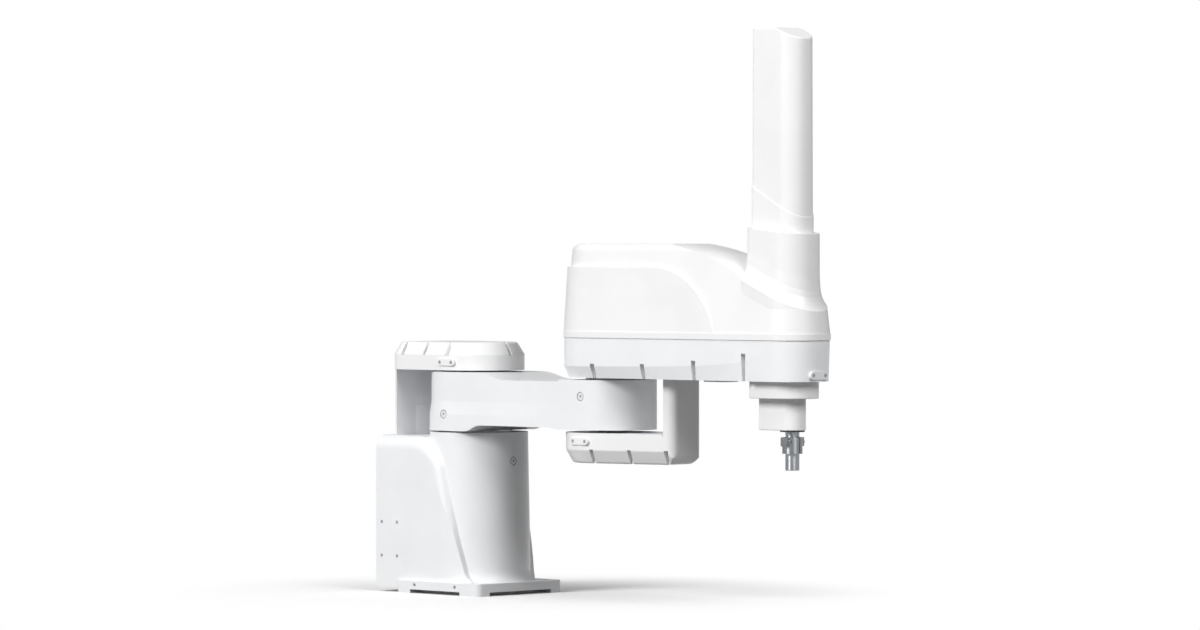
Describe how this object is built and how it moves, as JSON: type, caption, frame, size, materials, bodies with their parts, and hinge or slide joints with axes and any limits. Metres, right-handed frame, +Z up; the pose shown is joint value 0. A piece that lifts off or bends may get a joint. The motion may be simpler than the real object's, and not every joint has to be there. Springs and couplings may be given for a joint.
{
  "type": "scara robot arm",
  "caption": "Tabletop four-axis selective-compliance robot arm: cast base, link under a covered forearm, tall quill tube and a hollow spline shaft that lifts and turns.",
  "frame": {"origin": "centre of the base's bolt pattern, on the underside of its feet and on the first joint's axis", "axes": "+Z up along the first joint's axis, +X from the rear box towards the quill with the arm straight, +Y to the arm's left"},
  "size_m": [1.0609, 0.222, 1.032],
  "materials": {
    "painted_casting": "semi-gloss near-white paint on cast aluminium",
    "moulded_cover": "semi-gloss near-white moulded cover",
    "cover_screw_steel": "bright zinc-plated screws",
    "white_plug": "satin off-white plug",
    "ground_shaft": "ground hardened steel",
    "clamp_steel": "darker machined steel",
    "inner_aluminium": "machined aluminium",
    "motor_black": "black motor housing",
    "bearing_steel": "bearing steel",
    "belt_rubber": "black belt",
    "seal_rubber": "black wiper lip",
    "connector_black": "black connector shell",
    "fitting_brass": "plated brass fitting"
  },
  "bodies": {
    "base": {"base_casting": "painted_casting", "column_plug": "white_plug", "side_screws": "cover_screw_steel", "rear_panel": "painted_casting", "power_connector": "connector_black", "signal_connectors": "connector_black", "air_fittings": "fitting_brass", "panel_screws": "cover_screw_steel", "j1_motor": "motor_black", "j1_reducer": "inner_aluminium", "j1_bearing": "bearing_steel", "cable_riser": "painted_casting", "j1_cap_floor": "painted_casting", "j1_cap": "moulded_cover", "j1_index_screws": "cover_screw_steel"},
    "link": {"link_casting": "painted_casting", "link_plugs": "white_plug", "j1_output_flange": "inner_aluminium", "j2_output_flange": "inner_aluminium"},
    "forearm": {"forearm_tray": "painted_casting", "nose_index_screws": "cover_screw_steel", "cover_screws": "cover_screw_steel", "under_pad": "white_plug", "upper_cover": "moulded_cover", "tube_cover": "moulded_cover", "quill_housing_upper": "moulded_cover", "quill_housing_lower": "moulded_cover", "quill_seal": "seal_rubber", "quill_bushing": "bearing_steel", "knee_cap": "moulded_cover", "knee_floor": "painted_casting", "knee_index_screws": "cover_screw_steel", "j2_reducer": "inner_aluminium", "j2_bearing": "bearing_steel", "j2_motor": "motor_black", "z_motor_stand": "inner_aluminium", "theta_motor_stand": "inner_aluminium", "z_motor": "motor_black", "theta_motor": "motor_black", "z_belt": "belt_rubber", "theta_belt": "belt_rubber", "spline_bearing": "bearing_steel", "ball_bearing": "bearing_steel", "nut_carrier": "inner_aluminium"},
    "roll_nut": {"spline_nut": "bearing_steel", "theta_pulley": "inner_aluminium"},
    "lift_nut": {"ball_nut": "bearing_steel", "z_pulley": "inner_aluminium"},
    "lift_motor_pulley": {"z_motor_pulley": "inner_aluminium"},
    "roll_motor_pulley": {"theta_motor_pulley": "inner_aluminium"},
    "quill": {"quill_shaft": "ground_shaft", "stop_collar": "clamp_steel", "clamp_screws": "clamp_steel", "upper_stop": "clamp_steel"}
  },
  "joints": [
    {"name": "shoulder", "type": "hinge", "parent": "base", "child": "link", "pos_m": [0, 0, 0.3], "axis": [0, 0, 1], "range_deg": [-115, 115]},
    {"name": "elbow", "type": "hinge", "parent": "link", "child": "forearm", "pos_m": [0.35, 0, 0.4], "axis": [0, 0, 1], "range_deg": [-130, 130]},
    {"name": "roll", "type": "hinge", "parent": "forearm", "child": "roll_nut", "pos_m": [0.8, 0, 0.41], "axis": [0, 0, 1], "range_deg": [-360, 360]},
    {"name": "lift", "type": "slide", "parent": "roll_nut", "child": "quill", "axis": [0, 0, 1], "range_m": [-0.4, 0]},
    {"name": "lift_nut_spin", "type": "hinge", "parent": "forearm", "child": "lift_nut", "pos_m": [0.8, 0, 0.49], "axis": [0, 0, 1], "range_deg": [-5761, 1]},
    {"name": "lift_motor_spin", "type": "hinge", "parent": "forearm", "child": "lift_motor_pulley", "pos_m": [0.655, 0, 0.5], "axis": [0, 0, 1], "range_deg": [-11522, 2]},
    {"name": "roll_motor_spin", "type": "hinge", "parent": "forearm", "child": "roll_motor_pulley", "pos_m": [0.555, 0, 0.434], "axis": [0, 0, 1], "range_deg": [-901, 901]}
  ],
  "couplings": [
    {"joint": "lift_nut_spin", "follows": "lift", "rad_per_m": 251.33},
    {"joint": "lift_motor_spin", "follows": "lift", "rad_per_m": 502.65},
    {"joint": "roll_motor_spin", "follows": "roll", "ratio": 2.5}
  ]
}
